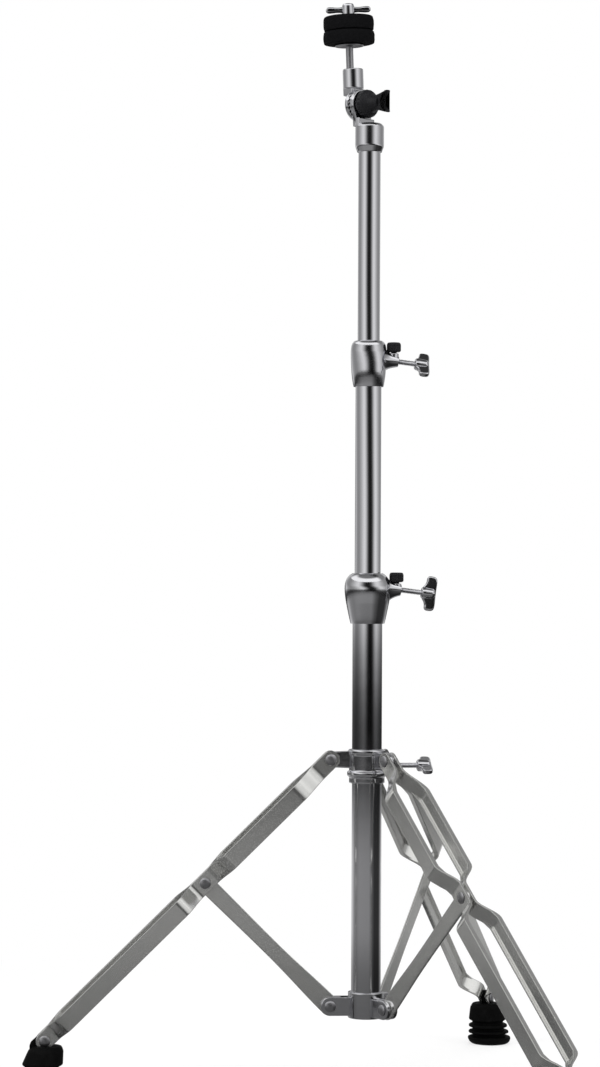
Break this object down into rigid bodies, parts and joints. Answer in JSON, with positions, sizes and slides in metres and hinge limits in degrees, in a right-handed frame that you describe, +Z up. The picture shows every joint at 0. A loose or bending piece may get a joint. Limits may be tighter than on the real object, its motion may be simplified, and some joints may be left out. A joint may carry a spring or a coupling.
{
  "type": "cymbal stand",
  "caption": "straight cymbal stand with folding braced tripod, telescoping tubes with clamp collars, toothed tilter and felt-padded cymbal seat",
  "frame": {"origin": "on the floor under the middle of the outline: the bottom centre of the bounding box; the tubes stand 0.070 m to +X of it", "axes": "+Z up along the tubes, -X along the first leg, the other two legs at 60 degrees to either side of +X"},
  "size_m": [0.4609, 0.526, 0.9325],
  "materials": {
    "chrome": "bright polished chrome plate",
    "steel": "zinc-bright rivets and washers",
    "rubber": "matte black moulded rubber",
    "black_plastic": "satin black plastic",
    "nylon": "plain nylon",
    "felt": "dense black wool felt"
  },
  "bodies": {
    "base": {"base_tube": "chrome", "strut_bracket": "chrome", "bracket_pin_1": "steel", "bracket_pin_2": "steel", "bracket_pin_3": "steel", "lower_collar": "chrome", "lower_bushing": "nylon"},
    "tripod_collar": {"tripod_collar": "chrome", "collar_pin_1": "steel", "collar_pin_2": "steel", "collar_pin_3": "steel"},
    "tripod_wing": {"tripod_wing_bolt": "chrome"},
    "lower_wing": {"lower_wing_bolt": "chrome"},
    "lower_lock": {"lower_lock_screw": "black_plastic"},
    "middle_glide": {"middle_glide": "nylon"},
    "middle_stage": {"middle_tube": "chrome", "upper_collar": "chrome", "upper_bushing": "nylon"},
    "upper_wing": {"upper_wing_bolt": "chrome"},
    "upper_lock": {"upper_lock_screw": "black_plastic"},
    "upper_glide": {"upper_glide": "nylon"},
    "upper_stage": {"upper_tube": "chrome", "tilter_base": "chrome", "tilter_washer": "steel"},
    "head": {"tilter_arm": "chrome", "tilter_bolt": "steel", "cymbal_rod": "chrome", "seat_washer": "steel"},
    "tilter_wing": {"tilter_wing_nut": "black_plastic"},
    "lower_pad": {"lower_felt": "felt", "rod_sleeve": "nylon"},
    "upper_pad": {"upper_felt": "felt"},
    "cymbal_nut": {"cymbal_wing_nut": "chrome"},
    "strut_1": {"strut_1": "chrome"},
    "leg_1": {"leg_1_strip_a": "chrome", "leg_1_strip_b": "chrome", "leg_1_middle_pin": "steel", "leg_1_foot_rivet": "steel", "leg_1_foot": "rubber"},
    "strut_2": {"strut_2": "chrome"},
    "leg_2": {"leg_2_strip_a": "chrome", "leg_2_strip_b": "chrome", "leg_2_middle_pin": "steel", "leg_2_foot_rivet": "steel", "leg_2_foot": "rubber"},
    "strut_3": {"strut_3": "chrome"},
    "leg_3": {"leg_3_strip_a": "chrome", "leg_3_strip_b": "chrome", "leg_3_middle_pin": "steel", "leg_3_foot_rivet": "steel", "leg_3_foot": "rubber"}
  },
  "joints": [
    {"name": "tripod_fold", "type": "hinge", "parent": "base", "child": "strut_1", "pos_m": [0.03924, 0, 0.0714], "axis": [0, 1, 0], "range_deg": [0, 42]},
    {"name": "leg_1_fold", "type": "hinge", "parent": "strut_1", "child": "leg_1", "pos_m": [-0.06775, 0, 0.17654], "axis": [0, 1, 0], "range_deg": [-84, 0]},
    {"name": "collar_fold", "type": "hinge", "parent": "leg_1", "child": "tripod_collar", "pos_m": [0.03924, 0, 0.28167], "axis": [0, 1, 0], "range_deg": [0, 42]},
    {"name": "leg_2_fold", "type": "hinge", "parent": "tripod_collar", "child": "leg_2", "pos_m": [0.08574, 0.02685, 0.28167], "axis": [0.866, -0.5, 0], "range_deg": [-42, 0]},
    {"name": "leg_3_fold", "type": "hinge", "parent": "tripod_collar", "child": "leg_3", "pos_m": [0.08574, -0.02685, 0.28167], "axis": [-0.866, -0.5, 0], "range_deg": [-42, 0]},
    {"name": "strut_2_fold", "type": "hinge", "parent": "base", "child": "strut_2", "pos_m": [0.08574, 0.02685, 0.0714], "axis": [0.866, -0.5, 0], "range_deg": [0, 42]},
    {"name": "strut_3_fold", "type": "hinge", "parent": "base", "child": "strut_3", "pos_m": [0.08574, -0.02685, 0.0714], "axis": [-0.866, -0.5, 0], "range_deg": [0, 42]},
    {"name": "tripod_wing_turn", "type": "hinge", "parent": "tripod_collar", "child": "tripod_wing", "pos_m": [0.07024, 0, 0.27667], "axis": [1, 0, 0], "continuous": true},
    {"name": "lower_wing_turn", "type": "hinge", "parent": "base", "child": "lower_wing", "pos_m": [0.07024, 0, 0.4303], "axis": [0.9925, 0, -0.1219], "continuous": true},
    {"name": "lower_lock_turn", "type": "hinge", "parent": "base", "child": "lower_lock", "pos_m": [0.09506, 0, 0.43595], "axis": [0, 0, 1], "continuous": true},
    {"name": "middle_height", "type": "slide", "parent": "base", "child": "middle_glide", "axis": [0, 0, 1], "range_m": [-0.155, 0.15]},
    {"name": "middle_turn", "type": "hinge", "parent": "middle_glide", "child": "middle_stage", "pos_m": [0.07024, 0, 0.5], "axis": [0, 0, 1], "continuous": true},
    {"name": "upper_wing_turn", "type": "hinge", "parent": "middle_stage", "child": "upper_wing", "pos_m": [0.07024, 0, 0.6256], "axis": [0.9925, 0, -0.1219], "continuous": true},
    {"name": "upper_lock_turn", "type": "hinge", "parent": "middle_stage", "child": "upper_lock", "pos_m": [0.09194, 0, 0.63324], "axis": [0, 0, 1], "continuous": true},
    {"name": "upper_height", "type": "slide", "parent": "middle_stage", "child": "upper_glide", "axis": [0, 0, 1], "range_m": [-0.155, 0.17]},
    {"name": "upper_turn", "type": "hinge", "parent": "upper_glide", "child": "upper_stage", "pos_m": [0.07024, 0, 0.7], "axis": [0, 0, 1], "continuous": true},
    {"name": "tilter_tilt", "type": "hinge", "parent": "upper_stage", "child": "head", "pos_m": [0.07024, 0, 0.844], "axis": [0.6561, -0.7547, 0], "range_deg": [-85, 80]},
    {"name": "tilter_wing_turn", "type": "hinge", "parent": "upper_stage", "child": "tilter_wing", "pos_m": [0.07024, 0, 0.844], "axis": [0.6561, -0.7547, 0], "continuous": true},
    {"name": "lower_felt_lift", "type": "slide", "parent": "head", "child": "lower_pad", "axis": [-0.0395, -0.0343, 0.9986], "range_m": [0, 0.04]},
    {"name": "upper_felt_lift", "type": "slide", "parent": "lower_pad", "child": "upper_pad", "axis": [-0.0395, -0.0343, 0.9986], "range_m": [0, 0.025]},
    {"name": "cymbal_nut_turn", "type": "hinge", "parent": "upper_pad", "child": "cymbal_nut", "pos_m": [0.05581, 0.0166, 0.844], "axis": [-0.0395, -0.0343, 0.9986], "continuous": true}
  ],
  "couplings": [
    {"joint": "leg_1_fold", "follows": "tripod_fold", "ratio": -2},
    {"joint": "collar_fold", "follows": "tripod_fold", "ratio": 1},
    {"joint": "leg_2_fold", "follows": "tripod_fold", "ratio": -1},
    {"joint": "leg_3_fold", "follows": "tripod_fold", "ratio": -1},
    {"joint": "strut_2_fold", "follows": "tripod_fold", "ratio": 1},
    {"joint": "strut_3_fold", "follows": "tripod_fold", "ratio": 1}
  ]
}
